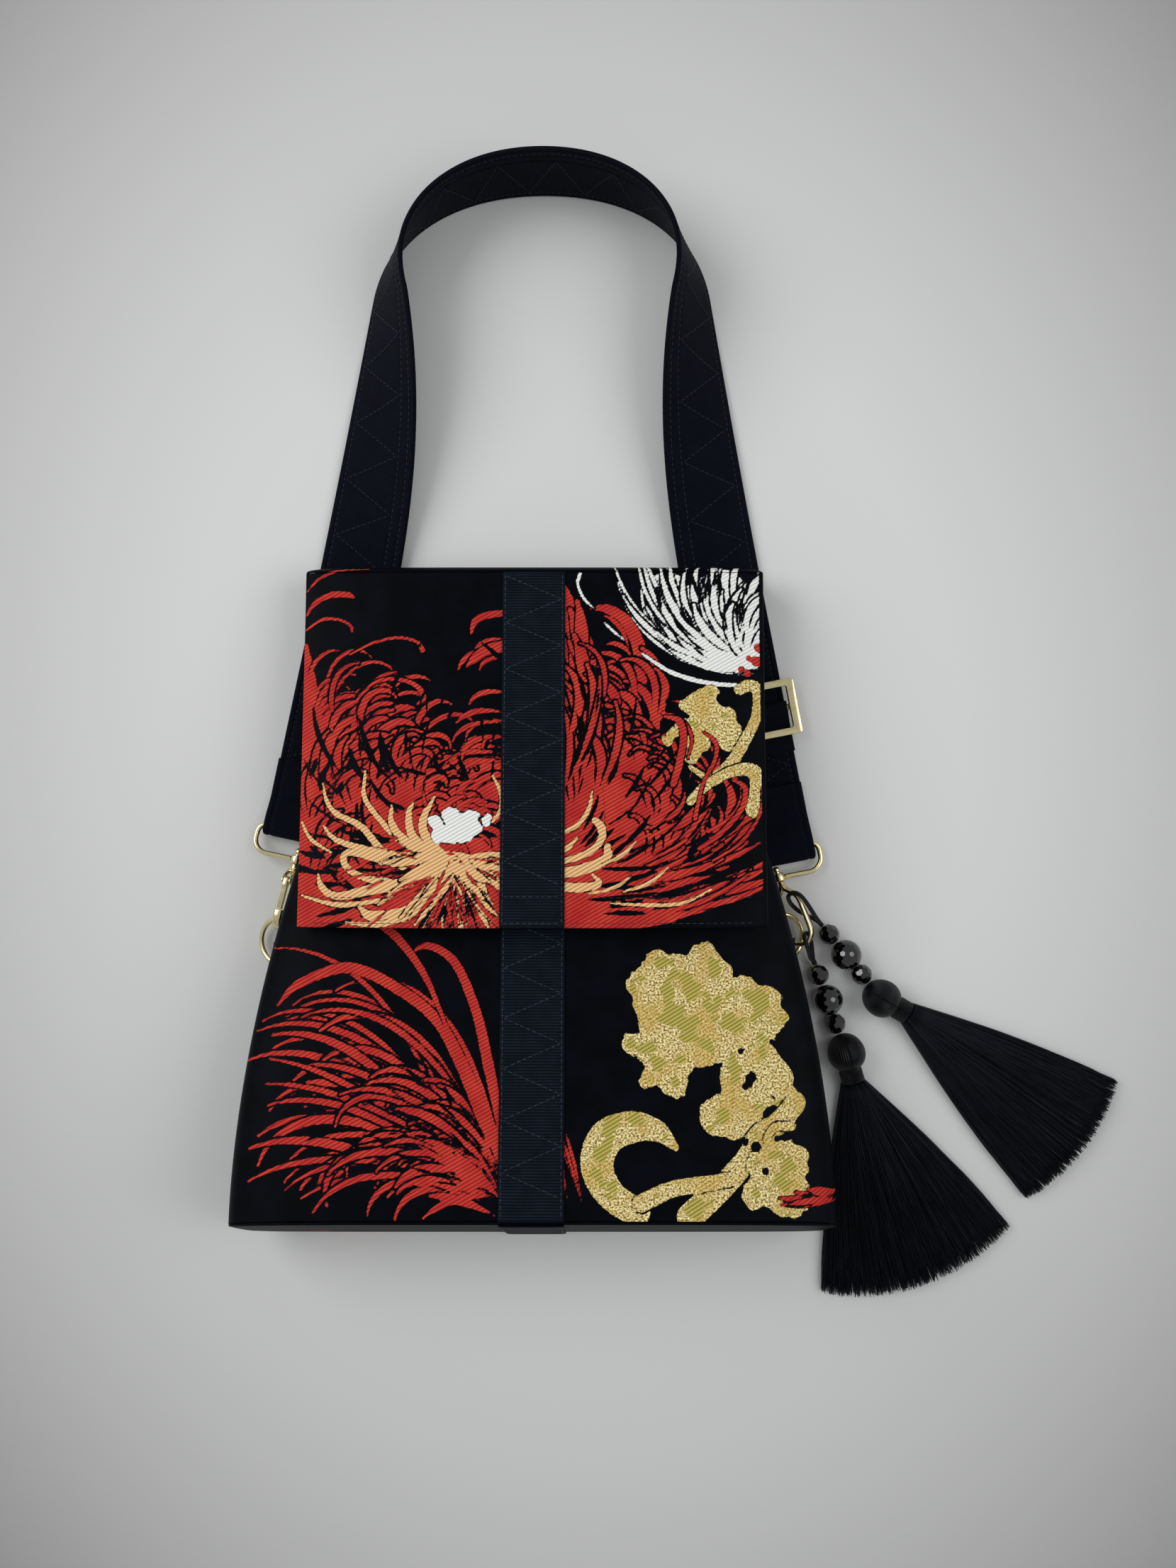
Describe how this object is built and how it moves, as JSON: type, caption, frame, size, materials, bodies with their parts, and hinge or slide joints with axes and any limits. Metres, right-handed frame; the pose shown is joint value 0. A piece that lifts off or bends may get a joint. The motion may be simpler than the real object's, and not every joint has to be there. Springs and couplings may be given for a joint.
{
  "type": "folding shoulder bag",
  "caption": "Fold-over boxed brocade bag with a ribbon band, webbing shoulder strap on swivel snap hooks, and beaded tassel charms.",
  "frame": {"origin": "middle of the back ribbon's resting face, near the bag's middle", "axes": "+Z out of the front, +Y from the base towards the fold and the strap, +X to the right seen from the front"},
  "size_m": [0.4352, 0.5592, 0.0683],
  "materials": {
    "brocade": "woven jacquard brocade, dark navy ground with red, peach, white and gold figures",
    "satin_lining": "dark satin",
    "board": "stiff board",
    "grosgrain": "ribbed ribbon with zigzag stitching",
    "snap_steel": "magnetic snap",
    "strap_webbing": "ribbed webbing, dark navy",
    "pale_gold_metal": "polished pale gold plating",
    "faceted_bead": "polished faceted black beads",
    "charm_cord": "waxed black cord",
    "tassel_silk": "black silk threads"
  },
  "bodies": {
    "bag_body": {"front_panel": "brocade", "back_panel": "brocade", "base_panel": "brocade", "body_lining": "satin_lining", "base_board": "board", "front_ribbon": "grosgrain", "base_ribbon": "grosgrain", "back_ribbon": "grosgrain", "fold_spine": "brocade", "tab_left": "grosgrain", "tab_right": "grosgrain"},
    "flap": {"flap_outer": "brocade", "flap_inner": "brocade", "flap_lining": "satin_lining", "flap_ribbon": "grosgrain", "snap_upper": "snap_steel", "snap_lower": "snap_steel"},
    "strap": {"strap_webbing": "strap_webbing"},
    "slider": {"slider": "pale_gold_metal", "slider_wrap": "strap_webbing"},
    "ring_left": {"ring_left": "pale_gold_metal"},
    "hook_left": {"hook_left": "pale_gold_metal", "gate_pin_left": "pale_gold_metal"},
    "gate_left": {"gate_left": "pale_gold_metal"},
    "dring_left": {"dring_left": "pale_gold_metal"},
    "ring_right": {"ring_right": "pale_gold_metal"},
    "hook_right": {"hook_right": "pale_gold_metal", "gate_pin_right": "pale_gold_metal"},
    "gate_right": {"gate_right": "pale_gold_metal"},
    "dring_right": {"dring_right": "pale_gold_metal"},
    "charm_a": {"cord_a": "charm_cord", "bead_a1": "faceted_bead", "bead_a2": "faceted_bead", "bead_a3": "faceted_bead", "head_a": "tassel_silk", "neck_a": "tassel_silk", "skirt_a": "tassel_silk"},
    "charm_b": {"cord_b": "charm_cord", "bead_b1": "faceted_bead", "bead_b2": "faceted_bead", "bead_b3": "faceted_bead", "head_b": "tassel_silk", "neck_b": "tassel_silk", "skirt_b": "tassel_silk"}
  },
  "joints": [
    {"name": "flap_fold", "type": "hinge", "parent": "bag_body", "child": "flap", "pos_m": [0, 0.1625, 0.0168], "axis": [-1, 0, 0], "range_deg": [0, 150], "deforming": ["fold_spine"]},
    {"name": "strap_swing", "type": "hinge", "parent": "bag_body", "child": "strap", "pos_m": [-0.1278, -0.0076, 0.0087], "axis": [0.9999, 0.0077, -0.0068], "range_deg": [-85, 0]},
    {"name": "slider_slide", "type": "slide", "parent": "strap", "child": "slider", "axis": [0.1913, -0.9815, 0], "range_m": [-0.012, 0.012]},
    {"name": "ring_left_tilt", "type": "hinge", "parent": "strap", "child": "ring_left", "pos_m": [-0.11631, 0.03616, 0.0044], "axis": [-0.9781, 0.2081, 0], "range_deg": [-2, 2]},
    {"name": "hook_left_swivel", "type": "hinge", "parent": "ring_left", "child": "hook_left", "pos_m": [-0.11926, 0.0223, 0.00695], "axis": [-0.2413, -0.9679, 0.0698], "range_deg": [-15, 15]},
    {"name": "gate_left_open", "type": "hinge", "parent": "hook_left", "child": "gate_left", "pos_m": [-0.12252, 0.01276, 0.01376], "axis": [0.9632, -0.2301, 0.1388], "range_deg": [0, 18], "stiffness_Nm_per_rad": 0.005},
    {"name": "dring_left_tilt", "type": "hinge", "parent": "bag_body", "child": "dring_left", "pos_m": [-0.123, -0.0188, 0.011], "axis": [0, 1, 0], "range_deg": [-10, 15]},
    {"name": "ring_right_tilt", "type": "hinge", "parent": "strap", "child": "ring_right", "pos_m": [0.11866, 0.02732, 0.0044], "axis": [0.9815, 0.1913, 0], "range_deg": [-2, 0]},
    {"name": "hook_right_swivel", "type": "hinge", "parent": "ring_right", "child": "hook_right", "pos_m": [0.12142, 0.01319, 0.0049], "axis": [-0.3387, 0.9305, -0.1392], "range_deg": [-15, 10]},
    {"name": "gate_right_open", "type": "hinge", "parent": "hook_right", "child": "gate_right", "pos_m": [0.11996, 0.00118, 0.0036], "axis": [-0.469, -0.0387, 0.8823], "range_deg": [0, 10], "stiffness_Nm_per_rad": 0.005},
    {"name": "dring_right_tilt", "type": "hinge", "parent": "bag_body", "child": "dring_right", "pos_m": [0.1186, -0.016, 0.011], "axis": [0, -1, 0], "range_deg": [-10, 5]},
    {"name": "charm_a_swing", "type": "hinge", "parent": "hook_right", "child": "charm_a", "pos_m": [0.13497, -0.01754, 0.01076], "axis": [0, 0, 1], "range_deg": [-5, 0]},
    {"name": "charm_b_swing", "type": "hinge", "parent": "hook_right", "child": "charm_b", "pos_m": [0.13189, 0.00056, 0.00992], "axis": [0, 0, 1], "range_deg": [0, 4]}
  ]
}
